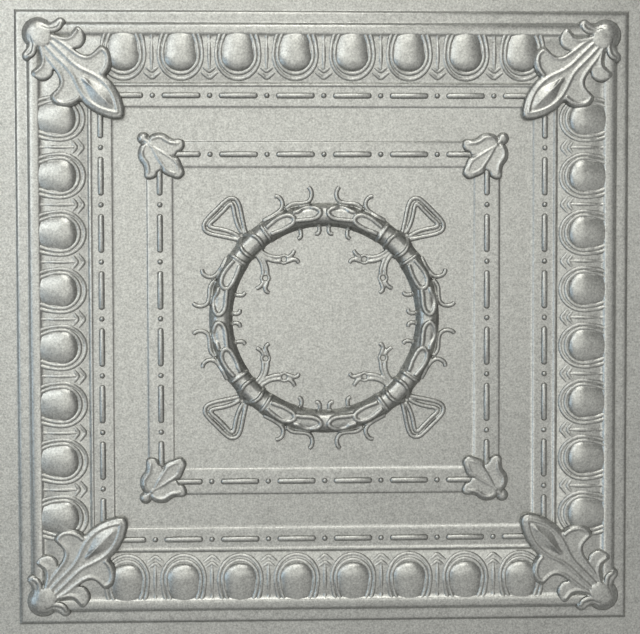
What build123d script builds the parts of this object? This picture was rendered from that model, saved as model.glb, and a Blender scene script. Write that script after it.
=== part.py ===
"""Square moulded foam ceiling tile with an egg-and-dart border and a ribboned wreath."""

import os
from math import cos, radians, sin

from build123d import *

# Outer size and the border section, each width measured inwards from the tile's edge
tile_side = 500.0
margin_width = 17.0
fascia_width = 9.2
roll_width = 8.8
bed_width = 36.3
band_width = 18.6
frame_reach = 135.0
frame_width = 20.0

# Levels above the flat back
margin_level = 4.0
fascia_level = 5.6
fascia_rise = 0.5
roll_level = 9.6
roll_crown = 0.6
bed_start = 7.4
bed_crest = 8.6
bed_end = 5.6
fillet_crest = 6.6
band_level = 5.4
field_level = 4.0
frame_level = 5.2
step_run = 0.9
fillet_width = 2.6
bed_crest_in = 11.6
bed_shoulder = 8.3
bed_shoulder_in = 22.5

# Egg-and-dart course
eggs_per_side = 8
egg_radius = 13.2
egg_tip_reach = 26.0
egg_tilt = 18.0
egg_crown = 13.0
egg_centre_in = 16.4
egg_spare_pitch = 0.265
inner_waist = 12.8
inner_reach = 9.6
outer_waist = 16.0
outer_reach = 13.2
ring_width = 2.2
ring_height = 0.9
dart_width = 2.6
dart_tip_gap = 8.5
chevron_gap = 4.8
chevron_slope = 0.7
chevron_spreads = (4.6, 6.2)

# Bead-and-reel courses
reel_length = 30.0
reel_width = 5.0
reel_height = 1.7
reel_round = 1.2
reel_row_in = 7.0
bead_radius = 2.3
sink = 1.0

# Corner sprays and buds
spray_level = 11.6
spray_draft = 14.0
tongue_ridge = 1.4
bud_level = 9.4
bud_draft = 16.0
bud_ball_radius = 4.6

# Wreath, bows and tassels
wreath_radius = 79.0
wreath_half_width = 9.2
wreath_top_half_width = 5.8
wreath_level = 11.4
wreath_crown = 0.8
knot_radius = 6.4
line_width = 2.0
leaf_line_height = 0.7
hook_height = 1.3
rib_angle = 10.0
rib_reach = 5.6

# Outlines along the wreath, each point a distance out from the ring's middle and an angle off the diagonal
leaf_a_inner = ((-4.6, 11.0), (-4.4, 20.0), (-1.0, 27.7))
leaf_a_outer = ((4.6, 11.0), (4.0, 20.0), (-1.0, 27.7))
leaf_b_inner = ((-3.6, 27.0), (-3.0, 35.0), (1.0, 42.6))
leaf_b_outer = ((5.0, 27.0), (5.0, 35.0), (1.0, 42.6))
bow_outer = ((6.0, 3.0), (29.9, 8.4), (36.1, 7.7), (37.6, 5.4), (37.5, 0.0))
bow_inner = ((6.0, 1.2), (26.6, 4.6), (32.0, 6.0), (33.6, 5.0), (33.1, 0.0))
hook_a = ((21.3, 23.1), (17.2, 25.1), (11.8, 24.4), (9.0, 20.8), (8.0, 12.9))
hook_b = ((21.8, 38.1), (18.4, 39.2), (12.5, 38.5), (10.0, 35.1), (9.0, 27.8))
tassel_upper = ((-8.0, 2.4), (-17.0, 3.9), (-20.7, 10.4), (-24.2, 15.3), (-22.4, 21.2))
tassel_lower = ((-15.6, 0.8), (-23.7, 6.5), (-28.1, 9.8), (-28.7, 18.4), (-33.1, 19.9))

# Places that follow from the sizes above, measured from the tile's centre
half = tile_side / 2
margin_in = half - margin_width
fascia_in = margin_in - fascia_width
roll_in = fascia_in - roll_width
bed_in = roll_in - bed_width
band_in = bed_in - band_width
frame_in = frame_reach - frame_width
reel_line = bed_in - fillet_width - reel_row_in
frame_line = frame_reach - frame_width / 2
egg_pitch = 2 * bed_in / (eggs_per_side + egg_spare_pitch)
egg_places = [(i - (eggs_per_side - 1) / 2) * egg_pitch for i in range(eggs_per_side)]
dart_places = [(i - (eggs_per_side - 2) / 2) * egg_pitch for i in range(eggs_per_side - 1)]
root_level = margin_level / 2
dart_tip = bed_in + dart_tip_gap
egg_line = roll_in - egg_centre_in
diagonal = Plane(origin=(0, 0, 0), z_dir=(1, -1, 0))


def bed_line(rise):
    """Line of the egg course's bed, in three flats from the roll inwards, lifted by a rise."""
    return [
        (roll_in, bed_start + rise),
        (roll_in - bed_crest_in, bed_crest + rise),
        (roll_in - bed_shoulder_in, bed_shoulder + rise),
        (bed_in, bed_end + rise),
    ]


def from_corner(*points):
    """Turn distances from the two tile edges at one corner into places on the tile."""
    return [(across - half, along - half) for across, along in points]


def polar(radius, angle):
    """Place at a radius from the centre and an angle away from the corner diagonal."""
    turn = radians(225 + angle)
    return (radius * cos(turn), radius * sin(turn))


def on_wreath(points):
    """Turn distances out from the ring's middle and angles off the diagonal into places on the tile."""
    return [polar(wreath_radius + out, angle) for out, angle in points]


def arcs(*points):
    """Draw a run of arcs, each through three points that are given as distances from the corner's edges."""
    places = from_corner(*points)
    for i in range(0, len(places) - 2, 2):
        ThreePointArc(places[i], places[i + 1], places[i + 2])


# One side of the border, cut to its mitres
with BuildPart() as side_sector:
    with BuildSketch(Plane.XZ):
        with BuildLine():
            Polyline((0, field_level), (0, 0), (half, 0), (half, margin_level), (margin_in, margin_level))
            Line((margin_in, margin_level), (margin_in - step_run, fascia_level))
            Line((margin_in - step_run, fascia_level), (fascia_in, fascia_level + fascia_rise))
            Line((fascia_in, fascia_level + fascia_rise), (fascia_in - step_run, roll_level - roll_crown))
            ThreePointArc(
                (fascia_in - step_run, roll_level - roll_crown),
                ((fascia_in + roll_in + step_run) / 2, roll_level),
                (roll_in + 2 * step_run, roll_level - roll_crown),
            )
            Line((roll_in + 2 * step_run, roll_level - roll_crown), (roll_in, bed_start))
            Polyline(*bed_line(0))
            ThreePointArc(
                (bed_in, bed_end),
                (bed_in - fillet_width / 2, fillet_crest),
                (bed_in - fillet_width, band_level),
            )
            Line((bed_in - fillet_width, band_level), (band_in + step_run, band_level))
            Line((band_in + step_run, band_level), (band_in, field_level))
            Line((band_in, field_level), (frame_reach, field_level))
            Line((frame_reach, field_level), (frame_reach - step_run, frame_level))
            Line((frame_reach - step_run, frame_level), (frame_in + step_run, frame_level))
            Line((frame_in + step_run, frame_level), (frame_in, field_level))
            Line((frame_in, field_level), (0, field_level))
        make_face()
    extrude(amount=half, both=True)
    split(bisect_by=Plane(origin=(0, 0, 0), z_dir=(1, 1, 0)), keep=Keep.TOP)
    split(bisect_by=Plane(origin=(0, 0, 0), z_dir=(1, -1, 0)), keep=Keep.TOP)

# Bed of the egg course raised by the height of the rings and darts that stand on it
with BuildPart() as raised_bed:
    with BuildSketch(Plane.YZ):
        with BuildLine():
            Polyline(*bed_line(ring_height), (bed_in, root_level), (roll_in, root_level), close=True)
        make_face()
    extrude(amount=egg_pitch / 2, both=True)


def ring_edge(waist, reach):
    """Closed outline round an egg: a half circle at the blunt end, and flanks drawing in to the roll."""
    CenterArc((0, egg_line), waist, 180, 180)
    right = TangentArc((waist, egg_line), (reach, roll_in + sink), tangent=(0, 1))
    left = TangentArc((-waist, egg_line), (-reach, roll_in + sink), tangent=(0, 1))
    Line(right @ 1, left @ 1)


# Two rings round one egg
with BuildPart() as egg_rings:
    for waist, reach in ((outer_waist, outer_reach), (inner_waist, inner_reach)):
        with BuildSketch(Plane.XY.offset(root_level)):
            with BuildLine():
                ring_edge(waist + ring_width / 2, reach + ring_width / 2)
            make_face()
            with BuildLine():
                ring_edge(waist - ring_width / 2, reach - ring_width / 2)
            make_face(mode=Mode.SUBTRACT)
        extrude(amount=egg_crown)
    add(raised_bed.part, mode=Mode.INTERSECT)

# Dome of one egg, its blunt end inwards and its other end dipping under the roll
with BuildPart() as egg_dome:
    with Locations((0, egg_line, egg_crown - egg_radius)):
        Sphere(egg_radius)
        with Locations(Rotation(-90 - egg_tilt, 0, 0)):
            Cylinder(egg_radius, egg_tip_reach, align=(Align.CENTER, Align.CENTER, Align.MIN))
    split(bisect_by=Plane.XY.offset(root_level), keep=Keep.TOP)

# Dart between two eggs: a shaft and two chevrons
with BuildPart() as dart:
    with BuildSketch(Plane.XY.offset(root_level)):
        with Locations((0, dart_tip)):
            Rectangle(dart_width, roll_in - dart_tip, align=(Align.CENTER, Align.MIN))
        for i, spread in enumerate(chevron_spreads):
            tip = dart_tip - i * chevron_gap
            rise = chevron_slope * spread
            with BuildLine():
                Polyline(
                    (0, tip - ring_width / 2),
                    (spread, tip - ring_width / 2 + rise),
                    (spread, tip + ring_width / 2 + rise),
                    (0, tip + ring_width / 2),
                    (-spread, tip + ring_width / 2 + rise),
                    (-spread, tip - ring_width / 2 + rise),
                    close=True,
                )
            make_face()
    extrude(amount=egg_crown)
    add(raised_bed.part, mode=Mode.INTERSECT)

# Reel and bead, each standing on a level band
with BuildPart() as reel:
    with BuildSketch():
        SlotOverall(reel_length, reel_width)
    extrude(amount=sink + reel_height)
    fillet(reel.edges().group_by(Axis.Z)[-1], reel_round)

with BuildPart() as bead:
    Cylinder(bead_radius, sink + reel_height, align=(Align.CENTER, Align.CENTER, Align.MIN))
    fillet(bead.edges().group_by(Axis.Z)[-1], reel_round)

# Corner spray: knob, curl, lobe, leaf and tongue, mirrored on the diagonal
with BuildPart() as spray:
    with BuildSketch(Plane.XY.offset(root_level)):
        with BuildLine():
            arcs((25.7, 25.7), (31.8, 22.5), (39.6, 24.4), (43.8, 27.0), (48.2, 25.4))
            arcs((48.2, 25.4), (53.4, 23.2), (56.4, 28.2), (52.0, 32.9), (45.5, 35.0))
            arcs((45.5, 35.0), (56.6, 37.8), (64.8, 29.2), (71.4, 38.4), (61.0, 47.4))
            arcs((61.0, 47.4), (74.2, 52.0), (82.8, 43.4), (91.6, 55.6), (84.6, 66.9))
            arcs((84.6, 66.9), (95.0, 79.6), (99.0, 95.0), (98.6, 97.2), (97.6, 97.6))
            mirror(about=diagonal)
        make_face()
    extrude(amount=spray_level - root_level, taper=spray_draft)

# Raised almond along the spray's tongue
with BuildPart() as almond:
    with BuildSketch(Plane.XY.offset(spray_level - sink)):
        with BuildLine():
            Spline(*from_corner((66.0, 66.0), (82.6, 76.4), (92.0, 92.0)))
            mirror(about=diagonal)
        make_face()
    extrude(amount=sink + tongue_ridge, taper=45)

# Inner bud: side leaves and a centre leaf, with a ball at their root
with BuildPart() as bud:
    with BuildSketch(Plane.XY.offset(root_level)):
        with BuildLine():
            arcs((115.4, 115.4), (116.6, 112.6), (119.2, 111.2), (126.2, 109.5), (133.4, 113.0))
            arcs((133.4, 113.0), (136.6, 114.0), (140.9, 114.1), (145.0, 117.6), (138.6, 125.0))
            arcs((138.6, 125.0), (142.4, 131.6), (144.2, 140.4), (143.8, 142.2), (142.8, 142.8))
            mirror(about=diagonal)
        make_face()
    extrude(amount=bud_level - root_level, taper=bud_draft)
    with Locations((*from_corner((113.4, 113.4))[0], field_level)):
        Sphere(bud_ball_radius)
    split(bisect_by=Plane.XY.offset(root_level), keep=Keep.TOP)

# Wreath ring
with BuildPart() as wreath:
    with BuildSketch(Plane.XZ):
        with BuildLine():
            Polyline(
                (wreath_radius - wreath_half_width, root_level),
                (wreath_radius + wreath_half_width, root_level),
                (wreath_radius + wreath_half_width, field_level),
                (wreath_radius + wreath_top_half_width, wreath_level - wreath_crown),
                (wreath_radius + wreath_top_half_width / 2, wreath_level),
                (wreath_radius - wreath_top_half_width / 2, wreath_level),
                (wreath_radius - wreath_top_half_width, wreath_level - wreath_crown),
                (wreath_radius - wreath_half_width, field_level),
                close=True,
            )
        make_face()
    revolve(axis=Axis.Z)

# Knot on the ring, the ribs beside it, and the outlines of the leaves along one half quarter
with BuildPart() as wreath_lines:
    with BuildSketch(Plane.XY.offset(field_level)):
        with Locations(polar(wreath_radius, 0)):
            Circle(knot_radius)
            Circle(knot_radius - line_width, mode=Mode.SUBTRACT)
        with BuildLine():
            Line(polar(wreath_radius - rib_reach, rib_angle), polar(wreath_radius + rib_reach, rib_angle))
        trace(line_width=line_width)
        with BuildLine():
            Spline(*on_wreath(leaf_a_inner))
            Spline(*on_wreath(leaf_a_outer))
        trace(line_width=line_width)
        with BuildLine():
            Spline(*on_wreath(leaf_b_inner))
            Spline(*on_wreath(leaf_b_outer))
        trace(line_width=line_width)
    extrude(amount=wreath_level + leaf_line_height - field_level)
    mirror(about=diagonal)

# Bow outside the knot, as a ribbon loop, with the hooks and tassels of one half quarter
with BuildPart() as ribbon:
    with BuildSketch(Plane.XY.offset(root_level)):
        for ridge in (bow_outer, bow_inner):
            with BuildLine():
                Polyline(*on_wreath(ridge))
            trace(line_width=line_width)
        for ridge in (hook_a, hook_b, tassel_upper, tassel_lower):
            with BuildLine():
                Spline(*on_wreath(ridge))
            trace(line_width=line_width)
    extrude(amount=field_level + hook_height - root_level)
    mirror(about=diagonal)

# One side of the tile with its courses
with BuildPart() as side:
    add(side_sector.part, rotation=(0, 0, 90))
    with Locations(*[(place, 0) for place in egg_places]):
        add((egg_rings.part, egg_dome.part))
    with Locations(*[(place, 0) for place in dart_places]):
        add(dart.part)
    with Locations(*[(place, reel_line, band_level - sink) for place in egg_places]):
        add(reel.part)
    with Locations(*[(place, reel_line, band_level - sink) for place in dart_places]):
        add(bead.part)
    with Locations(*[(place, frame_line, frame_level - sink) for place in egg_places[1:-1]]):
        add(reel.part)
    with Locations(*[(place, frame_line, frame_level - sink) for place in dart_places[1:-1]]):
        add(bead.part)

# The tile: four sides, then the sprays, buds and wreath that cross the mitres
with BuildPart() as tile:
    with PolarLocations(0, 4):
        add(side.part)
    with PolarLocations(0, 4):
        add((spray.part, almond.part, bud.part))
    add(wreath.part)
    with PolarLocations(0, 4):
        add((wreath_lines.part, ribbon.part))

tile.part.label = "ceiling_tile"
os.makedirs("parts", exist_ok=True)
export_step(tile.part, "parts/ceiling_tile.step")
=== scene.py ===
"""Foam ceiling tile: stepped border, egg-and-dart course, corner sprays, buds and a ribboned wreath."""

import logging
from collections.abc import Callable, Iterator
from contextlib import contextmanager
from dataclasses import dataclass
from enum import Enum
from math import cos, hypot, pi, radians, sin, sqrt

import bpy
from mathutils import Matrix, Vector


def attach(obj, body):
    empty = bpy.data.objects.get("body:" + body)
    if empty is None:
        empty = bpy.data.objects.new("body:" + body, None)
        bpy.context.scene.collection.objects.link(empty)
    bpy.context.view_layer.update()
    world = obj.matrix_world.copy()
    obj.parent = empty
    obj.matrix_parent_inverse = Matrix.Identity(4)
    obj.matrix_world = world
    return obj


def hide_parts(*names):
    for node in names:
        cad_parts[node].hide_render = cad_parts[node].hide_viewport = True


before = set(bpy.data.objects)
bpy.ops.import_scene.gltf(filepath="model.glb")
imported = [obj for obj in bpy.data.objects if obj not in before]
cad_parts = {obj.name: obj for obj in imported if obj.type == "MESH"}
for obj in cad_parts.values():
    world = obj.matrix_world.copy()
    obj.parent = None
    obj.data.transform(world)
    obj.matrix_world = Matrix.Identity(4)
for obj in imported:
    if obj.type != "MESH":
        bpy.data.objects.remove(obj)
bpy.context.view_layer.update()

log = logging.getLogger("ceiling_tile")

Plan = tuple[float, float]
Spot = tuple[float, float, float]

TILE_HALF = 250.0
FIELD = 4.0
ROOT = 2.4


class Quarter(Enum):
    """The four corners of the tile, with the turn in degrees that takes the first corner there."""

    NORTH_WEST = 0
    SOUTH_WEST = 90
    SOUTH_EAST = 180
    NORTH_EAST = 270

    @property
    def tag(self) -> str:
        """Short name for the pieces of this quarter."""
        return "".join(word[0] for word in self.name.lower().split("_"))


def corner(across: float, down: float) -> Plan:
    """Place on the tile of a point given by its distances from the two edges of the first corner."""
    return (across - TILE_HALF, TILE_HALF - down)


def mirrored(spot: tuple[float, ...]) -> tuple[float, ...]:
    """The point on the other side of the first corner's diagonal."""
    return (-spot[1], -spot[0], *spot[2:])


def grown(outline: list[Plan], by: float) -> list[Plan]:
    """Move every point of a closed outline outwards along its own normal.

    Args:
        outline: The points, in order.
        by: How far, less than nothing to draw the outline in.

    Returns:
        The moved points.
    """
    ring = list(zip(outline[-1:] + outline[:-1], outline, outline[1:] + outline[:1]))
    area = sum(before[0] * place[1] - before[1] * place[0] for before, place, _ in ring)
    moved = []
    for before, place, after in ring:
        run, rise = after[0] - before[0], after[1] - before[1]
        share = (by if area > 0 else -by) / hypot(run, rise)
        moved.append((place[0] + share * rise, place[1] - share * run))
    return moved


class Bench:
    """Modelling steps with Blender's own tools. Sizes are millimetres until a piece is finished."""

    @staticmethod
    def only(piece: bpy.types.Object) -> None:
        """Select one object alone and make it the active one.

        Args:
            piece: The object to work on.
        """
        bpy.ops.object.select_all(action="DESELECT")
        piece.select_set(True)
        bpy.context.view_layer.objects.active = piece

    @staticmethod
    @contextmanager
    def editing(piece: bpy.types.Object) -> Iterator[None]:
        """Open an object in edit mode with everything selected, and close it afterwards.

        Args:
            piece: The mesh object to edit.
        """
        Bench.only(piece)
        bpy.ops.object.mode_set(mode="EDIT")
        bpy.ops.mesh.select_all(action="SELECT")
        yield
        bpy.ops.object.mode_set(mode="OBJECT")

    @staticmethod
    def pick(piece: bpy.types.Object, test: Callable[[Vector], bool]) -> None:
        """Leave selected only the vertices that pass a test, while in edit mode.

        Args:
            piece: The mesh object being edited.
            test: Says of a vertex's place whether it is picked.
        """
        bpy.ops.mesh.select_mode(type="VERT")
        bpy.ops.mesh.select_all(action="DESELECT")
        bpy.ops.object.mode_set(mode="OBJECT")
        for vertex in piece.data.vertices:
            vertex.select = test(vertex.co)
        bpy.ops.object.mode_set(mode="EDIT")

    @staticmethod
    def modify(piece: bpy.types.Object, kind: str, **settings: object) -> None:
        """Add a modifier, set it and apply it.

        Args:
            piece: The mesh object to change.
            kind: The modifier's type.
            settings: The modifier's own settings.
        """
        Bench.only(piece)
        bpy.ops.object.modifier_add(type=kind)
        modifier = piece.modifiers[-1]
        for key, value in settings.items():
            setattr(modifier, key, value)
        bpy.ops.object.modifier_apply(modifier=modifier.name)

    @staticmethod
    def repeat(piece: bpy.types.Object, count: int, pitch: float) -> None:
        """Repeat a form along the first side.

        Args:
            piece: The form at the side's first place.
            count: How many there are in all.
            pitch: Distance from one to the next.
        """
        Bench.modify(
            piece,
            "ARRAY",
            count=count,
            use_relative_offset=False,
            use_constant_offset=True,
            constant_offset_displace=(pitch, 0, 0),
        )

    @staticmethod
    def join(name: str, parts: list[bpy.types.Object]) -> bpy.types.Object:
        """Join objects into one.

        Args:
            name: The joined object's name.
            parts: The objects, of which the first takes in the others.

        Returns:
            The joined object.
        """
        Bench.only(parts[0])
        for part in parts:
            part.select_set(True)
        bpy.ops.object.join()
        parts[0].name = name
        return parts[0]

    @staticmethod
    def fuse(
        name: str, parts: list[bpy.types.Object], voxel: float, rounds: int, keep: float = 1.0
    ) -> bpy.types.Object:
        """Join overlapping closed forms into one skin and soften its creases.

        Args:
            name: The fused object's name.
            parts: The closed forms.
            voxel: Width of the new skin's faces.
            rounds: How many times the skin is smoothed.
            keep: Share of the faces that is left where the skin is thinned out.

        Returns:
            The fused object.
        """
        piece = Bench.join(name, parts)
        Bench.modify(piece, "REMESH", mode="VOXEL", voxel_size=voxel)
        Bench.modify(piece, "SMOOTH", factor=0.5, iterations=rounds)
        if keep < 1.0:
            Bench.modify(piece, "DECIMATE", ratio=keep)
        return piece

    @staticmethod
    def ridge(spots: list[Spot], radius: float, ends: Plan = (1.0, 1.0), fine: int = 4) -> bpy.types.Object:
        """Draw a round ridge along a smooth line.

        Args:
            spots: Points that the ridge's middle passes through.
            radius: The ridge's radius.
            ends: Share of the radius left at the first and at the last point.
            fine: Steps between two points.

        Returns:
            The ridge as a closed mesh.
        """
        bpy.ops.curve.primitive_bezier_curve_add()
        curve = bpy.context.object.data
        line = curve.splines[0]
        line.bezier_points.add(len(spots) - 2)
        for knot, spot in zip(line.bezier_points, spots):
            knot.co = spot
            knot.radius = 1.0
            knot.handle_left_type = "AUTO"
            knot.handle_right_type = "AUTO"
        line.bezier_points[0].radius = ends[0]
        line.bezier_points[-1].radius = ends[1]
        curve.dimensions = "3D"
        curve.bevel_depth = radius
        curve.bevel_resolution = 2
        curve.resolution_u = fine
        curve.use_fill_caps = True
        bpy.ops.object.convert(target="MESH")
        piece = bpy.context.object
        with Bench.editing(piece):
            bpy.ops.mesh.remove_doubles(threshold=0.001)
            bpy.ops.mesh.normals_make_consistent(inside=False)
        return piece

    @staticmethod
    def loop(outline: list[Plan], level: float) -> bpy.types.Object:
        """Draw a closed smooth line at one level.

        Args:
            outline: Points that the line passes through.
            level: Its height.

        Returns:
            The line as a mesh of edges.
        """
        bpy.ops.curve.primitive_bezier_circle_add(radius=1)
        curve = bpy.context.object.data
        line = curve.splines[0]
        line.bezier_points.add(len(outline) - 4)
        for knot, place in zip(line.bezier_points, outline):
            knot.co = (*place, level)
            knot.handle_left_type = "AUTO"
            knot.handle_right_type = "AUTO"
        curve.dimensions = "3D"
        curve.resolution_u = 4
        bpy.ops.object.convert(target="MESH")
        return bpy.context.object

    @staticmethod
    def slab(outline: list[Plan], walls: tuple[Plan, ...]) -> bpy.types.Object:
        """Bridge copies of a closed outline into a slab.

        Args:
            outline: Points that the outline passes through.
            walls: From the underside to the top, how far the outline is grown, and at which level.

        Returns:
            The slab.
        """
        piece = Bench.join("slab", [Bench.loop(grown(outline, by), level) for by, level in walls])
        levels = [level for _, level in walls]
        with Bench.editing(piece):
            for low, high in zip(levels, levels[1:]):
                Bench.pick(piece, lambda place: low - 0.01 < place.z < high + 0.01)
                bpy.ops.mesh.bridge_edge_loops()
            for end in (levels[0], levels[-1]):
                Bench.pick(piece, lambda place: abs(place.z - end) < 0.01)
                bpy.ops.mesh.edge_face_add()
            bpy.ops.mesh.select_all(action="SELECT")
            bpy.ops.mesh.normals_make_consistent(inside=False)
        return piece

    @staticmethod
    def dome(
        centre: Spot, sizes: Spot, turn: float = 0.0, floor: float | None = ROOT, fine: int = 32
    ) -> bpy.types.Object:
        """Round off a ball into a stretched dome.

        Args:
            centre: The middle of the whole ball.
            sizes: Its half sizes along its own three directions.
            turn: Turn about the upright, in degrees.
            floor: Level that it is cut off at, or None for a whole ball.
            fine: Faces round the ball.

        Returns:
            The dome as a closed mesh.
        """
        bpy.ops.mesh.primitive_uv_sphere_add(segments=fine, ring_count=fine // 2, radius=1)
        piece = bpy.context.object
        with Bench.editing(piece):
            bpy.ops.transform.resize(value=sizes)
            bpy.ops.transform.rotate(value=-radians(turn), orient_axis="Z", center_override=(0, 0, 0))
            bpy.ops.transform.translate(value=centre)
            if floor is not None:
                Bench.cut(floor)
        return piece

    @staticmethod
    def cut(level: float) -> None:
        """Cut off what lies under a level and close the cut, while in edit mode.

        Args:
            level: Height of the cut.
        """
        bpy.ops.mesh.select_all(action="SELECT")
        bpy.ops.mesh.bisect(plane_co=(0, 0, level), plane_no=(0, 0, 1), clear_inner=True, use_fill=True)
        bpy.ops.mesh.select_all(action="SELECT")

    @staticmethod
    def turned_copies(piece: bpy.types.Object, stem: str) -> list[bpy.types.Object]:
        """Copy a piece of the first quarter to the other three, each with its own mesh.

        Args:
            piece: The finished piece of the first quarter.
            stem: First part of the four names.

        Returns:
            The four pieces.
        """
        pieces = []
        for quarter in Quarter:
            if quarter is Quarter.NORTH_WEST:
                twin = piece
            else:
                Bench.only(piece)
                bpy.ops.object.duplicate(linked=False)
                twin = bpy.context.object
                with Bench.editing(twin):
                    bpy.ops.transform.rotate(
                        value=-radians(quarter.value), orient_axis="Z", center_override=(0, 0, 0)
                    )
            twin.name = f"{stem}_{quarter.tag}"
            pieces.append(twin)
        return pieces


@dataclass(frozen=True)
class Section:
    """The border's section, as levels at distances in from the tile's edge."""

    edge: float = 3.6
    steps: tuple[Plan, ...] = (
        (0.25, 3.88),
        (0.7, 4.0),
        (1.4, 4.0),
        (15.0, 4.0),
        (16.05, 4.0),
        (16.55, 4.1),
        (16.95, 4.45),
        (17.45, 5.08),
        (17.95, 5.7),
        (18.45, 6.2),
        (18.95, 6.44),
        (19.75, 6.6),
        (20.65, 6.67),
        (21.75, 6.7),
        (24.4, 6.7),
        (25.5, 6.72),
        (26.1, 6.88),
        (26.7, 7.42),
        (27.3, 8.12),
        (27.9, 8.76),
        (28.5, 9.2),
        (29.3, 9.56),
        (30.3, 9.8),
        (31.4, 9.9),
        (32.6, 9.9),
        (33.6, 9.78),
        (34.4, 9.46),
        (35.2, 8.98),
        (36.0, 8.44),
        (36.7, 7.98),
        (37.3, 7.68),
        (38.0, 7.66),
        (40.5, 8.15),
        (44.0, 8.65),
        (48.0, 8.9),
        (54.0, 8.65),
        (58.0, 8.25),
        (61.0, 7.75),
        (64.0, 7.05),
        (66.5, 6.3),
        (68.5, 5.6),
        (70.2, 5.05),
        (70.8, 5.0),
        (71.3, 5.4),
        (71.8, 5.95),
        (72.4, 6.4),
        (73.0, 6.55),
        (73.5, 6.35),
        (74.0, 5.85),
        (74.5, 5.5),
        (75.2, 5.4),
        (76.0, 5.4),
        (87.4, 5.4),
        (88.3, 5.34),
        (88.9, 5.12),
        (89.4, 4.72),
        (89.9, 4.32),
        (90.5, 4.08),
        (91.2, 4.0),
        (92.0, 4.0),
        (113.4, 4.0),
        (114.2, 4.0),
        (114.9, 4.06),
        (115.3, 4.28),
        (115.7, 4.72),
        (116.2, 5.02),
        (116.9, 5.14),
        (117.8, 5.19),
        (118.6, 5.2),
        (132.6, 5.2),
        (133.6, 5.14),
        (134.3, 4.92),
        (134.9, 4.5),
        (135.4, 4.16),
        (136.0, 4.03),
        (136.7, 4.0),
        (137.6, 4.0),
    )

    def level(self, inwards: float) -> float:
        """Level of the surface.

        Args:
            inwards: Distance in from the tile's edge.

        Returns:
            Height above the flat back.
        """
        before = (0.0, self.edge)
        for after in self.steps:
            if inwards <= after[0]:
                share = (inwards - before[0]) / (after[0] - before[0])
                return before[1] + share * (after[1] - before[1])
            before = after
        return before[1]


@dataclass
class TileBody:
    """The square tile with its stepped border, sunk field and inner band."""

    section: Section
    crease: float = 38.0

    def build(self) -> list[bpy.types.Object]:
        """Inset a plate's face again and again along the section.

        Returns:
            The body.
        """
        bpy.ops.mesh.primitive_cube_add(size=1)
        body = bpy.context.object
        body.name = "tile_body"
        with Bench.editing(body):
            bpy.ops.transform.resize(value=(2 * TILE_HALF, 2 * TILE_HALF, self.section.edge))
            bpy.ops.transform.translate(value=(0, 0, self.section.edge / 2))
            Bench.pick(body, lambda place: place.z > self.section.edge / 2)
            bpy.ops.mesh.select_mode(type="FACE")
            before = (0.0, self.section.edge)
            for after in self.section.steps:
                bpy.ops.mesh.inset(thickness=after[0] - before[0], depth=after[1] - before[1])
                before = after
        Bench.only(body)
        bpy.ops.object.shade_smooth_by_angle(angle=radians(self.crease))
        return [body]


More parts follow.
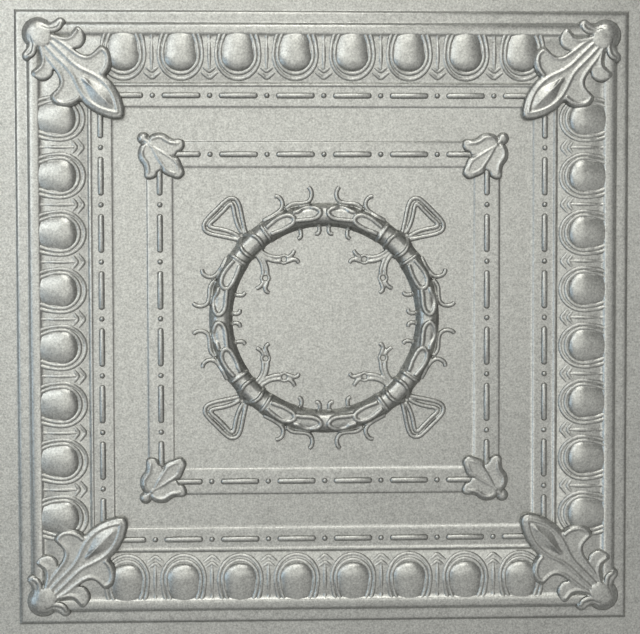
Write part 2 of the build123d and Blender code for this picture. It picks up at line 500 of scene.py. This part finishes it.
@dataclass
class EggCourse:
    """Eggs in double rings with darts between them, along the convex bed."""

    section: Section
    pitch: float = 43.25
    eggs: int = 8
    egg_line: float = 51.0
    egg_half: float = 15.0
    egg_blunt: float = 12.4
    egg_tail: float = 30.0
    egg_height: float = 6.0
    egg_seat: float = 5.2
    egg_dip: float = 4.0
    ring_radius: float = 2.2
    ring_sink: float = 1.6
    dart_radius: float = 2.2

    def on_bed(self, across: float, inwards: float, sink: float) -> Spot:
        """Place on the bed of the first side, sunk by an amount."""
        return (across, TILE_HALF - inwards, self.section.level(max(inwards, 35.6)) - sink)

    def egg(self) -> bpy.types.Object:
        """Pull a ball into an egg whose narrow end dips under the roll.

        Returns:
            The egg's dome.
        """
        bpy.ops.mesh.primitive_uv_sphere_add(segments=32, ring_count=20, radius=1)
        dome = bpy.context.object
        with Bench.editing(dome):
            bpy.ops.transform.resize(value=(self.egg_half, self.egg_blunt, self.egg_height))
            Bench.pick(dome, lambda place: place.y > 0.001)
            stretch = self.egg_tail / self.egg_blunt
            bpy.ops.transform.resize(value=(1, stretch, 1), center_override=(0, 0, 0))
            bpy.ops.mesh.select_all(action="SELECT")
            bpy.ops.transform.rotate(value=radians(self.egg_dip), orient_axis="X", center_override=(0, 0, 0))
            bpy.ops.transform.translate(value=(0, TILE_HALF - self.egg_line, self.egg_seat))
            Bench.cut(ROOT)
        return dome

    def ring(self, cut: float, widest: float, bottom: float) -> bpy.types.Object:
        """Run a ridge round an egg, from the roll down and back up.

        Args:
            cut: Half width where the ring meets the roll.
            widest: Half width beside the egg's middle.
            bottom: Distance in from the edge of its lowest point.

        Returns:
            The ring.
        """
        reach = bottom - self.egg_line
        half = [
            (cut - 0.9, 33.6),
            (cut, 36.0),
            (cut + 0.62 * (widest - cut), 41.5),
            (widest - 0.2, 47.2),
        ]
        turn = [
            (widest * cos(radians(angle)), self.egg_line + reach * sin(radians(angle)))
            for angle in (0, 18, 36, 54, 72, 90)
        ]
        right = half + turn
        run = right + [(-across, inwards) for across, inwards in reversed(right[:-1])]
        return Bench.ridge([self.on_bed(*place, self.ring_sink) for place in run], self.ring_radius)

    def chevron(self, spread: float, ends: float, tip: float) -> bpy.types.Object:
        """Run a ridge in a V over a dart's point.

        Args:
            spread: Half width between the two ends.
            ends: Distance in from the edge of the two ends.
            tip: Distance in from the edge of the point.

        Returns:
            The chevron.
        """
        run = [(-spread, ends), (-0.45 * spread, 0.4 * ends + 0.6 * tip), (0.0, tip)]
        run += [(0.45 * spread, 0.4 * ends + 0.6 * tip), (spread, ends)]
        spots = [self.on_bed(*place, self.ring_sink) for place in run]
        return Bench.ridge(spots, self.ring_radius, (0.85, 0.85))

    def dart(self) -> bpy.types.Object:
        """Set a shaft and two chevrons between two eggs.

        Returns:
            The dart.
        """
        shaft = [self.on_bed(0.0, inwards, self.ring_sink) for inwards in (33.6, 38.0, 46.0, 54.0, 61.5)]
        parts = [
            Bench.ridge(shaft, self.dart_radius, (1.0, 0.9)),
            self.chevron(4.7, 59.5, 62.6),
            self.chevron(6.3, 63.2, 67.4),
        ]
        return Bench.join("dart", parts)

    def build(self) -> list[bpy.types.Object]:
        """Repeat one egg and one dart along a side and turn the course to the other sides.

        Returns:
            The four courses.
        """
        egg = Bench.join("egg", [self.egg(), self.ring(10.3, 13.4, 64.3), self.ring(13.9, 16.4, 68.3)])
        dart = self.dart()
        for unit, count in ((egg, self.eggs), (dart, self.eggs - 1)):
            with Bench.editing(unit):
                bpy.ops.transform.translate(value=(-self.pitch * (count - 1) / 2, 0, 0))
            Bench.repeat(unit, count, self.pitch)
        course = Bench.join("egg_course", [egg, dart])
        Bench.only(course)
        bpy.ops.object.shade_smooth_by_angle(angle=radians(60))
        return Bench.turned_copies(course, "egg_course")


@dataclass
class BeadCourse:
    """Long reels with round beads between them, along one level band."""

    name: str
    line: float
    level: float
    reels: int
    beads: int
    pitch: float = 43.25
    reel_half: float = 15.0
    reel_width: float = 2.6
    rise: float = 1.7
    sink: float = 0.9
    bead_radius: float = 2.3

    def reel(self) -> bpy.types.Object:
        """Pull a ball apart into a long reel with round ends.

        Returns:
            The reel.
        """
        bpy.ops.mesh.primitive_uv_sphere_add(
            segments=24, ring_count=12, radius=self.reel_width, rotation=(0, pi / 2, 0)
        )
        reel = bpy.context.object
        bpy.ops.object.transform_apply(location=True, rotation=True, scale=True)
        with Bench.editing(reel):
            straight = self.reel_half - self.reel_width
            bpy.ops.mesh.bisect(plane_co=(0, 0, 0), plane_no=(1, 0, 0))
            Bench.pick(reel, lambda place: place.x > 0.01)
            bpy.ops.transform.translate(value=(straight, 0, 0))
            Bench.pick(reel, lambda place: place.x < -0.01)
            bpy.ops.transform.translate(value=(-straight, 0, 0))
        return reel

    def build(self) -> list[bpy.types.Object]:
        """Repeat one reel and one bead along a side and turn the course to the other sides.

        Returns:
            The four courses.
        """
        reel = self.reel()
        bead = Bench.dome((0, 0, 0), (self.bead_radius,) * 3, floor=None, fine=20)
        for unit, count in ((reel, self.reels), (bead, self.beads)):
            with Bench.editing(unit):
                height = self.reel_width if unit is reel else self.bead_radius
                bpy.ops.transform.resize(value=(1, 1, (self.rise + self.sink) / height))
                bpy.ops.transform.translate(
                    value=(-self.pitch * (count - 1) / 2, TILE_HALF - self.line, self.level - self.sink)
                )
            Bench.repeat(unit, count, self.pitch)
        course = Bench.join(self.name, [reel, bead])
        with Bench.editing(course):
            Bench.cut(self.level - self.sink)
            bpy.ops.mesh.normals_make_consistent(inside=False)
        Bench.only(course)
        bpy.ops.object.shade_smooth_by_angle(angle=radians(50))
        return Bench.turned_copies(course, self.name)


@dataclass
class CornerSpray:
    """Pressed leaf spray over each corner of the border: knob, curls, lobes and a long tongue."""

    plateau: float = 11.0
    wall_rounds: int = 8
    voxel: float = 0.45
    rim: float = 2.3
    rim_rise: float = 0.8
    roof_rise: float = 2.2
    outline: tuple[Plan, ...] = (
        (29.0, 29.0),
        (33.5, 26.4),
        (39.0, 27.0),
        (43.4, 28.8),
        (47.8, 26.6),
        (51.4, 24.2),
        (54.4, 25.4),
        (55.2, 28.5),
        (52.0, 32.3),
        (45.9, 34.6),
        (50.6, 36.4),
        (55.3, 37.4),
        (58.9, 36.2),
        (61.8, 33.0),
        (64.6, 30.4),
        (67.1, 31.3),
        (69.5, 35.2),
        (70.1, 39.3),
        (68.1, 44.0),
        (64.6, 46.3),
        (61.6, 47.2),
        (66.2, 50.5),
        (72.0, 51.8),
        (76.1, 50.5),
        (79.4, 47.2),
        (82.6, 44.7),
        (85.5, 45.8),
        (88.2, 48.2),
        (89.9, 51.8),
        (90.2, 56.0),
        (89.3, 60.2),
        (86.8, 64.4),
        (85.0, 66.8),
        (88.6, 71.1),
        (92.2, 76.1),
        (95.4, 81.8),
        (97.5, 88.0),
        (98.4, 92.8),
        (97.2, 97.2),
    )
    stem_rims: tuple[tuple[Plan, ...], ...] = (
        (
            (41.0, 38.0), (52.0, 48.2), (64.8, 60.2), (77.4, 66.7),
            (83.8, 71.2), (90.2, 79.4), (94.0, 90.2), (94.6, 94.6),
        ),
        ((44.0, 37.0), (52.0, 41.6), (61.0, 48.6), (67.9, 52.9), (73.0, 53.6), (77.9, 51.0), (82.4, 46.9)),
        ((82.4, 46.9), (85.8, 49.2), (87.4, 53.0), (87.2, 57.6), (85.4, 62.4), (82.4, 66.0)),
        ((43.0, 37.4), (50.5, 39.2), (56.0, 39.8), (60.6, 38.4), (63.4, 35.2), (65.2, 33.0)),
    )
    curl: tuple[Plan, ...] = ((41.5, 33.0), (47.0, 33.0), (51.4, 31.0), (53.0, 27.6))
    roof: tuple[Plan, ...] = (
        (-20.0, 0.0), (-13.0, 3.4), (-5.0, 7.0), (1.5, 8.8), (8.0, 8.0), (13.5, 5.2), (19.0, 0.0),
    )

    def half_and_half(self, line: tuple[Plan, ...], level: float) -> list[list[Spot]]:
        """A line on one half of the spray and its twin over the diagonal, at one level."""
        near = [(*corner(*place), level) for place in line]
        return [near, [mirrored(spot) for spot in near]]

    def tongue_roof(self) -> bpy.types.Object:
        """Draw a lens up to a sharp crest along the tongue.

        Returns:
            The roof.
        """
        low = self.plateau - 0.6
        high = self.plateau + self.roof_rise
        lens = list(self.roof) + [(along, -across) for along, across in reversed(self.roof[1:-1])]
        roof = Bench.slab(lens, ((0.0, low), (0.0, high)))
        with Bench.editing(roof):
            Bench.pick(roof, lambda place: place.z > (low + high) / 2)
            bpy.ops.transform.resize(value=(0.5, 0.02, 1), center_override=(0, 0, high))
            bpy.ops.mesh.select_all(action="SELECT")
            bpy.ops.transform.rotate(value=radians(45), orient_axis="Z", center_override=(0, 0, 0))
            bpy.ops.transform.translate(value=(*corner(80.0, 80.0), 0))
        return roof

    def plate(self) -> bpy.types.Object:
        """Press the spray's outline into a soft-walled plate.

        Returns:
            The plate.
        """
        half = [corner(*place) for place in self.outline]
        whole = half + [mirrored(place) for place in reversed(half[1:-1])]
        high = self.plateau
        walls = ((1.3, ROOT), (1.2, high - 3.2), (0.7, high - 1.6), (-0.2, high - 0.6), (-1.5, high))
        plate = Bench.slab(whole, walls)
        return Bench.fuse("spray_plate", [plate], self.voxel, self.wall_rounds)

    def build(self) -> list[bpy.types.Object]:
        """Lay rims, curls, knob and tongue on the plate and fuse them.

        Returns:
            The four sprays.
        """
        parts = [self.plate()]
        for line in self.stem_rims:
            for run in self.half_and_half(line, self.plateau - self.rim + self.rim_rise):
                parts.append(Bench.ridge(run, self.rim))
        for run in self.half_and_half(self.curl, self.plateau - 1.2):
            parts.append(Bench.ridge(run, 2.3, (0.9, 0.8)))
        parts.append(Bench.dome((*corner(34.9, 34.9), 4.8), (12.6, 12.6, 7.5)))
        parts.append(Bench.dome((*corner(38.0, 38.0), self.plateau + 0.4), (7.7, 7.7, 1.1)))
        parts.append(self.tongue_roof())
        spray = Bench.fuse("corner_spray", parts, self.voxel, 2, 0.45)
        Bench.only(spray)
        bpy.ops.object.shade_smooth()
        return Bench.turned_copies(spray, "corner_spray")


@dataclass
class InnerBud:
    """Three-leaved bud with a ball at its root, over each corner of the inner band."""

    plateau: float = 8.6
    voxel: float = 0.45
    rim: float = 1.9
    rim_rise: float = 0.5
    side_leaf: tuple[Plan, ...] = (
        (117.6, 116.4),
        (118.8, 112.0),
        (121.9, 110.3),
        (125.9, 109.8),
        (129.8, 110.9),
        (132.8, 113.2),
        (136.0, 114.4),
        (140.2, 114.4),
        (142.7, 115.1),
        (143.6, 116.9),
        (143.3, 119.6),
        (141.7, 122.1),
        (138.8, 123.4),
        (136.6, 126.4),
        (130.0, 125.6),
        (123.0, 121.0),
    )
    centre_leaf: tuple[Plan, ...] = (
        (117.0, 117.0),
        (122.5, 119.9),
        (127.2, 122.5),
        (131.4, 125.2),
        (136.2, 127.4),
        (139.0, 128.6),
        (140.6, 131.0),
        (141.8, 134.4),
        (143.1, 137.8),
        (143.2, 140.0),
        (141.8, 141.8),
    )
    ribs: tuple[tuple[Plan, ...], ...] = (
        (
            (119.6, 114.6), (123.0, 112.8), (127.0, 112.8), (130.0, 114.6),
            (133.4, 116.6), (137.4, 117.2), (140.2, 117.6),
        ),
        ((121.0, 120.4), (127.0, 123.9), (133.4, 128.0), (137.4, 131.2), (139.6, 136.0), (140.0, 139.4)),
    )

    def build(self) -> list[bpy.types.Object]:
        """Press the leaves, lay their rims on them and fuse all with the ball.

        Returns:
            The four buds.
        """
        side = [corner(*place) for place in self.side_leaf]
        half = [corner(*place) for place in self.centre_leaf]
        middle = half + [mirrored(place) for place in reversed(half[1:-1])]
        leaves = [(side, self.plateau - 0.3), ([mirrored(place) for place in side], self.plateau - 0.3)]
        leaves.append((middle, self.plateau))
        parts = []
        for outline, high in leaves:
            walls = ((1.1, ROOT), (1.0, high - 2.6), (0.5, high - 1.2), (-0.3, high - 0.4), (-1.2, high))
            leaf = Bench.slab(outline, walls)
            parts.append(Bench.fuse("bud_leaf", [leaf], self.voxel, 6))
        for line in self.ribs:
            near = [(*corner(*place), self.plateau - self.rim + self.rim_rise) for place in line]
            parts.append(Bench.ridge(near, self.rim, (0.8, 0.8)))
            parts.append(Bench.ridge([mirrored(spot) for spot in near], self.rim, (0.8, 0.8)))
        parts.append(Bench.dome((*corner(113.1, 113.1), 3.8), (4.9, 4.9, 4.2)))
        neck = [(*corner(place, place), level) for place, level in ((112.6, 5.4), (116.0, 5.7), (120.0, 5.5))]
        parts.append(Bench.ridge(neck, 2.4))
        bud = Bench.fuse("inner_bud", parts, self.voxel, 2, 0.45)
        Bench.only(bud)
        bpy.ops.object.shade_smooth()
        return Bench.turned_copies(bud, "inner_bud")


@dataclass
class WreathQuarter:
    """A quarter of the wreath: tube, leaf sleeves, knot, bow, hooks and tassels."""

    radius: float = 79.0
    tube_half: float = 9.4
    tube_top: float = 4.6
    tube_level: float = 10.6
    tube_round: float = 3.6
    sleeve: float = 0.5
    sleeve_start: float = 10.6
    voxel: float = 0.45
    leaf_rim: float = 1.9
    leaf_rise: float = 1.5
    ribbon_rim: float = 1.9
    ribbon_rise: float = 2.2
    knot_grow: float = 0.6
    knot_half: float = 5.2
    eyelet: Plan = (-30.7, 45.0)
    leaves: tuple[tuple[Plan, ...], ...] = (
        (
            (-44.0, 68.8), (-39.7, 72.6), (-35.7, 75.6), (-31.9, 77.5),
            (-28.0, 78.3), (-25.1, 77.7), (-23.0, 75.8),
            (-23.4, 72.8), (-26.3, 70.3), (-29.3, 68.6), (-32.7, 66.9), (-37.0, 65.4), (-40.4, 64.0),
        ),
        (
            (-24.0, 80.2), (-20.0, 81.1), (-16.6, 83.2), (-12.3, 84.2),
            (-8.1, 84.0), (-4.7, 82.7), (-3.0, 80.8),
            (-3.8, 78.4), (-6.4, 76.3), (-10.2, 75.2), (-14.4, 74.8), (-18.7, 74.4), (-21.2, 73.9),
        ),
    )
    hooks: tuple[tuple[Plan, ...], ...] = (
        (
            (-37.6, 93.0), (-34.9, 92.5), (-32.7, 90.4), (-31.7, 87.9),
            (-32.0, 84.7), (-33.6, 82.2), (-36.4, 80.0),
            (-39.6, 77.8), (-43.0, 76.1), (-46.6, 74.3),
        ),
        (
            (-12.0, 100.0), (-10.7, 98.8), (-9.7, 96.7), (-9.4, 93.9),
            (-10.3, 90.9), (-12.3, 88.8), (-15.6, 87.8),
            (-19.0, 87.5), (-22.8, 87.3), (-26.0, 86.2), (-29.2, 83.6),
        ),
        ((-18.0, 67.4), (-17.6, 64.6), (-18.0, 62.0), (-20.0, 60.3)),
        ((-3.7, 69.6), (-3.6, 66.6), (-4.8, 64.6), (-7.0, 64.4)),
    )
    tassels: tuple[tuple[Plan, ...], ...] = (
        ((-51.0, 54.0), (-48.6, 52.0), (-44.6, 48.9), (-40.6, 47.2), (-36.6, 46.6), (-33.6, 46.8)),
        ((-28.0, 46.6), (-25.8, 47.6), (-24.0, 49.4), (-22.5, 52.0)),
        ((-50.4, 50.0), (-46.6, 47.2), (-41.4, 44.7), (-37.4, 43.6), (-33.6, 43.2)),
        ((-28.2, 43.2), (-25.4, 44.2), (-22.8, 45.0), (-20.7, 44.2), (-19.3, 42.0)),
    )
    bow_outer: tuple[Plan, ...] = (
        (190.2, 184.8), (188.0, 175.0), (186.6, 168.0), (185.0, 162.6), (183.2, 159.8), (180.2, 158.5),
        (177.2, 159.0), (174.0, 161.3), (167.6, 167.6),
    )
    bow_inner: tuple[Plan, ...] = (
        (187.6, 185.1), (185.0, 180.7), (182.9, 175.0), (181.6, 169.5), (180.6, 164.6), (179.2, 162.8),
        (177.5, 163.6), (174.4, 167.0), (170.7, 170.7),
    )

    def ground(self, place: Plan) -> float:
        """Level of the wreath's tube or of the field at a place.

        Args:
            place: The place on the tile.

        Returns:
            The level.
        """
        off = abs(hypot(*place) - self.radius)
        flank = (self.tube_half + self.sleeve - off) / (self.tube_half - self.tube_top)
        level = ROOT + flank * (self.tube_level + self.sleeve - ROOT)
        crown = self.tube_level + self.sleeve - 0.02 * off * off
        return max(FIELD, min(level - 0.3, crown))

    def tube(self, grow: float, start: float, sweep: float) -> bpy.types.Object:
        """Spin a rounded section along part of the ring.

        Args:
            grow: How much the section is larger than the plain tube's.
            start: Where it starts, in degrees off the diagonal.
            sweep: How far it goes, in degrees.

        Returns:
            The length of tube.
        """
        bpy.ops.mesh.primitive_plane_add(size=2, rotation=(pi / 2, 0, 0))
        tube = bpy.context.object
        bpy.ops.object.transform_apply(location=True, rotation=True, scale=True)
        high = self.tube_level + grow
        with Bench.editing(tube):
            bpy.ops.transform.resize(value=(self.tube_half + grow, 1, (high - ROOT) / 2))
            bpy.ops.transform.translate(value=(self.radius, 0, (high + ROOT) / 2))
            Bench.pick(tube, lambda place: place.z > (high + ROOT) / 2)
            narrow = (self.tube_top + grow) / (self.tube_half + grow)
            bpy.ops.transform.resize(value=(narrow, 1, 1), center_override=(self.radius, 0, high))
            bpy.ops.mesh.bevel(offset=self.tube_round, segments=8, affect="VERTICES")
            bpy.ops.mesh.select_all(action="SELECT")
            turn = -radians(135 + start)
            bpy.ops.transform.rotate(value=turn, orient_axis="Z", center_override=(0, 0, 0))
            steps = max(4, int(abs(sweep)))
            bpy.ops.mesh.spin(steps=steps, angle=-radians(sweep), center=(0, 0, 0), axis=(0, 0, 1))
            bpy.ops.mesh.select_all(action="SELECT")
            bpy.ops.mesh.normals_make_consistent(inside=False)
        return tube

    def lines(
        self, runs: tuple[tuple[Plan, ...], ...], rim: float, rise: float, climb: bool = True
    ) -> list[bpy.types.Object]:
        """Lay ridges along lines of one half quarter and their twins over the diagonal.

        Args:
            runs: The lines.
            rim: The ridges' radius.
            rise: How far they stand over the ground.
            climb: Whether they climb the tube where they meet it.

        Returns:
            The ridges.
        """
        ridges = []
        for run in runs:
            near = [(*place, (self.ground(place) if climb else FIELD) + rise - rim) for place in run]
            ridges.append(Bench.ridge(near, rim, (0.9, 0.9)))
            ridges.append(Bench.ridge([mirrored(spot) for spot in near], rim, (0.9, 0.9)))
        return ridges

    def bow(self) -> list[bpy.types.Object]:
        """Lay the two ridges of the ribbon loop outside the knot.

        Returns:
            The ridges.
        """
        ridges = []
        for line in (self.bow_outer, self.bow_inner):
            half = [corner(*place) for place in line]
            whole = half + [mirrored(place) for place in reversed(half[:-1])]
            run = [(*place, self.ground(place) + self.ribbon_rise - self.ribbon_rim) for place in whole]
            ridges.append(Bench.ridge(run, self.ribbon_rim))
        return ridges

    def eyelets(self) -> list[bpy.types.Object]:
        """Set a small ring in each of the two tassels.

        Returns:
            The rings.
        """
        rings = []
        for place in (self.eyelet, mirrored(self.eyelet)):
            bpy.ops.mesh.primitive_torus_add(
                location=(*place, FIELD + 0.4),
                major_radius=3.0,
                minor_radius=1.35,
                major_segments=24,
                minor_segments=10,
            )
            bpy.ops.object.transform_apply(location=True, rotation=True, scale=True)
            rings.append(bpy.context.object)
        return rings

    def collars(self) -> list[bpy.types.Object]:
        """Lay a rib over the tube where each leaf sleeve starts.

        Returns:
            The ribs.
        """
        ribs = []
        turn = radians(135 - self.sleeve_start)
        rib = []
        for off in (-8.4, -7.2, -5.4, -2.8, 0.0, 2.8, 5.4, 7.2, 8.4):
            place = ((self.radius + off) * cos(turn), (self.radius + off) * sin(turn))
            rib.append((*place, self.ground(place) - 0.7))
        for line in (rib, [mirrored(spot) for spot in rib]):
            ribs.append(Bench.ridge(line, 1.5, (0.5, 0.5)))
        return ribs

    def knot(self) -> list[bpy.types.Object]:
        """Set a band and its two ribs across the tube on the diagonal.

        Returns:
            The forms.
        """
        forms = [self.tube(self.knot_grow, -self.knot_half, 2 * self.knot_half)]
        rib = []
        for out, along in ((9.4, 1.4), (7.0, 4.4), (3.4, 6.6), (-0.6, 7.4), (-4.6, 6.8), (-8.4, 5.4)):
            reach = self.radius + out
            place = ((-reach + along) / sqrt(2), (reach + along) / sqrt(2))
            rib.append((*place, self.ground(place) + 0.25))
        forms.append(Bench.ridge(rib, 1.5))
        forms.append(Bench.ridge([mirrored(spot) for spot in rib], 1.5))
        return forms

    def build(self) -> list[bpy.types.Object]:
        """Fuse the tube, sleeves, knot, bow, hooks and tassels of one quarter, and turn it round.

        Returns:
            The four quarters.
        """
        reach = 45.0 + 2.0
        parts = [self.tube(0.0, -reach, 2 * reach)]
        parts.append(self.tube(self.sleeve, self.sleeve_start, reach - self.sleeve_start))
        parts.append(self.tube(self.sleeve, -reach, reach - self.sleeve_start))
        parts += self.lines(self.leaves, self.leaf_rim, self.leaf_rise)
        parts += self.lines(self.hooks, self.ribbon_rim, self.ribbon_rise)
        parts += self.lines(self.tassels, self.ribbon_rim, self.ribbon_rise, climb=False)
        parts += self.bow() + self.knot() + self.eyelets() + self.collars()
        wreath = Bench.fuse("wreath_quarter", parts, self.voxel, 2, 0.4)
        Bench.only(wreath)
        bpy.ops.object.shade_smooth()
        return Bench.turned_copies(wreath, "wreath")


class Signal:
    """A shader socket that takes part in sums and products."""

    def __init__(self, sheet: "Sheet", socket: bpy.types.NodeSocket) -> None:
        """Wrap one output socket of a sheet's node."""
        self.sheet = sheet
        self.socket = socket

    def _with(self, operation: str, first: object, second: object) -> "Signal":
        """Put a maths node on two values."""
        return self.sheet.node("ShaderNodeMath", {"operation": operation}, {0: first, 1: second})

    def __add__(self, other: object) -> "Signal":
        """Sum."""
        return self._with("ADD", self, other)

    __radd__ = __add__

    def __sub__(self, other: object) -> "Signal":
        """Difference."""
        return self._with("SUBTRACT", self, other)

    def __rsub__(self, other: object) -> "Signal":
        """Difference the other way round."""
        return self._with("SUBTRACT", other, self)

    def __mul__(self, other: object) -> "Signal":
        """Product."""
        return self._with("MULTIPLY", self, other)

    __rmul__ = __mul__


class Sheet:
    """The node tree of one material."""

    def __init__(self, name: str) -> None:
        """Start an empty material."""
        self.material = bpy.data.materials.new(name)
        self.material.use_nodes = True
        self.tree = self.material.node_tree
        self.tree.nodes.clear()

    def node(self, kind: str, settings: dict[str, object], values: dict, out: int | str = 0) -> Signal | None:
        """Add a node.

        Args:
            kind: The node's type.
            settings: Its own settings.
            values: What each of its input sockets takes: a signal or a plain value.
            out: Which of its outputs is wanted.

        Returns:
            That output, or None for a node that has none.
        """
        node = self.tree.nodes.new(kind)
        for key, value in settings.items():
            setattr(node, key, value)
        for key, value in values.items():
            if isinstance(value, Signal):
                self.tree.links.new(value.socket, node.inputs[key])
            else:
                node.inputs[key].default_value = value
        return Signal(self, node.outputs[out]) if len(node.outputs) else None


@dataclass(frozen=True)
class SilverPaint:
    """Satin silver paint over pressed foam, with a fine grain, faint clouds and painted shade that darkens
    its steep walls.
    """

    name: str = "silver_paint"
    colour: tuple[float, float, float] = (0.62, 0.62, 0.59)
    metallic: float = 0.8
    roughness: float = 0.29
    grain_scale: float = 700.0
    mottle_scale: float = 220.0
    cloud_scale: float = 28.0
    grain_depth: float = 0.0004
    # how far the colour of steep walls is darkened, as painted shade
    wall_loss: float = 0.42

    @staticmethod
    def noise(sheet: Sheet, place: Signal, scale: float, detail: float, rough: float) -> Signal:
        """Add one noise pattern.

        Args:
            sheet: The material's node tree.
            place: Where on the piece the pattern is read.
            scale: The pattern's fineness.
            detail: How many finer layers it has.
            rough: How strong the finer layers are.

        Returns:
            The pattern's value.
        """
        values = {"Vector": place, "Scale": scale, "Detail": detail, "Roughness": rough}
        return sheet.node("ShaderNodeTexNoise", {}, values)

    def make(self) -> bpy.types.Material:
        """Draw the finish.

        Returns:
            The material.
        """
        sheet = Sheet(self.name)
        place = sheet.node("ShaderNodeTexCoord", {}, {}, "Object")
        grain = self.noise(sheet, place, self.grain_scale, 3.0, 0.7)
        mottle = self.noise(sheet, place, self.mottle_scale, 1.0, 0.5)
        cloud = self.noise(sheet, place, self.cloud_scale, 3.0, 0.55)
        # painted shade: the base colour is darkened where the surface is steep, standing in for the dark
        # walls the lights leave
        steep = sheet.node("ShaderNodeAttribute", {"attribute_name": "steep"}, {}, "Fac")
        painted_shade_mask = sheet.node("ShaderNodeClamp", {}, {"Value": (steep - 0.25) * 4.5})
        flecks = (grain - 0.5) * 1.6 + (mottle - 0.5) * 0.35 + (cloud - 0.5) * 0.2
        shade = flecks + 1.0 - painted_shade_mask * self.wall_loss
        red, green, blue = self.colour
        colour = sheet.node(
            "ShaderNodeCombineColor", {}, {"Red": shade * red, "Green": shade * green, "Blue": shade * blue}
        )
        bump = sheet.node(
            "ShaderNodeBump", {}, {"Strength": 0.3, "Distance": self.grain_depth, "Height": grain}
        )
        surface = sheet.node(
            "ShaderNodeBsdfPrincipled",
            {},
            {
                "Base Color": colour,
                "Metallic": self.metallic,
                "Roughness": self.roughness + cloud * 0.08,
                "Normal": bump,
            },
        )
        sheet.node("ShaderNodeOutputMaterial", {}, {"Surface": surface})
        return sheet.material


@dataclass(frozen=True)
class FloorPaint:
    """Plain pale matt floor."""

    name: str = "pale_floor"
    colour: tuple[float, float, float] = (0.78, 0.78, 0.77)

    def make(self) -> bpy.types.Material:
        """Draw the finish.

        Returns:
            The material.
        """
        sheet = Sheet(self.name)
        surface = sheet.node(
            "ShaderNodeBsdfPrincipled", {}, {"Base Color": (*self.colour, 1.0), "Roughness": 0.9}
        )
        sheet.node("ShaderNodeOutputMaterial", {}, {"Surface": surface})
        return sheet.material


@dataclass(frozen=True)
class Softbox:
    """One soft studio light, aimed at the tile's middle."""

    name: str
    place: Spot
    width: float
    depth: float
    power: float
    colour: tuple[float, float, float] = (1.0, 1.0, 1.0)

    def build(self) -> bpy.types.Object:
        """Hang the light.

        Returns:
            The light.
        """
        bpy.ops.object.light_add(type="AREA", location=self.place)
        lamp = bpy.context.object
        lamp.name = self.name
        lamp.rotation_euler = (-Vector(self.place)).to_track_quat("-Z", "Y").to_euler()
        lamp.data.shape = "RECTANGLE"
        lamp.data.size = self.width
        lamp.data.size_y = self.depth
        lamp.data.energy = self.power
        lamp.data.color = self.colour
        return lamp


@dataclass(frozen=True)
class Studio:
    """Floor, lights, backdrop tone and the camera at the photograph's angle."""

    lights: tuple[Softbox, ...] = (
        Softbox("overhead_light", (-0.22, 0.42, 1.90), 1.8, 1.6, 6.0, (1.0, 1.0, 0.94)),
        Softbox("canopy_light", (0.15, -0.60, 2.00), 3.3, 2.8, 9.9, (1.0, 1.0, 0.97)),
        Softbox("key_light", (0.0, 1.62, 1.48), 1.2, 0.8, 9.5, (1.0, 1.0, 0.95)),
        Softbox("side_light", (-1.15, 0.85, 1.55), 1.1, 0.9, 5.9, (0.96, 1.0, 1.0)),
        Softbox("fill_light", (-1.70, -0.30, 1.20), 1.0, 0.9, 3.9, (0.60, 0.81, 1.0)),
    )
    tone: tuple[float, float, float] = (0.118, 0.118, 0.115)
    camera_place: Spot = (-0.03729, 0.03550, 0.99701)
    camera_turn: Spot = (-1.99214, -1.96687, -0.14327)
    lens: float = 73.125

    def build(self) -> None:
        """Set the stage."""
        bpy.ops.mesh.primitive_plane_add(size=8)
        floor = bpy.context.object
        floor.name = "floor"
        floor.data.materials.append(FloorPaint().make())
        for light in self.lights:
            light.build()
        bpy.context.scene.view_settings.view_transform = "Standard"
        world = bpy.data.worlds.new("studio_tone")
        world.use_nodes = True
        world.node_tree.nodes["Background"].inputs["Color"].default_value = (*self.tone, 1.0)
        bpy.context.scene.world = world
        bpy.ops.object.camera_add(
            location=self.camera_place, rotation=[radians(turn) for turn in self.camera_turn]
        )
        camera = bpy.context.object
        camera.data.lens = self.lens
        camera.data.sensor_width = 36.0
        bpy.context.scene.camera = camera


def finish_piece(piece: bpy.types.Object, paint: bpy.types.Material) -> None:
    """Bring a piece to metres, paint it and tie it to the tile's frame.

    Args:
        piece: The finished piece, still in millimetres.
        paint: Its material.
    """
    with Bench.editing(piece):
        bpy.ops.transform.resize(value=(0.001, 0.001, 0.001), center_override=(0, 0, 0))
    piece.data.name = piece.name
    piece.data.materials.clear()
    piece.data.materials.append(paint)
    # per-vertex steepness, which the paint reads to darken steep walls as painted shade
    steep = piece.data.attributes.new("steep", "FLOAT", "POINT")
    steep.data.foreach_set("value", [1.0 - vertex.normal.z for vertex in piece.data.vertices])
    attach(piece, "root")
    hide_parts("ceiling_tile")
    faces = sum(len(polygon.vertices) - 2 for polygon in piece.data.polygons)
    log.info("%s: %d triangles", piece.name, faces)


def main() -> None:
    """Build every piece in order, dress it and set the stage."""
    logging.basicConfig(level=logging.INFO, format="%(message)s")
    section = Section()
    makers = (
        TileBody(section),
        EggCourse(section),
        BeadCourse("outer_beads", 80.9, 5.4, reels=8, beads=7),
        BeadCourse("inner_beads", 125.3, 5.2, reels=6, beads=5),
        CornerSpray(),
        InnerBud(),
        WreathQuarter(),
    )
    paint = SilverPaint().make()
    for maker in makers:
        for piece in maker.build():
            finish_piece(piece, paint)
    Studio().build()


if __name__ == "__main__":
    main()
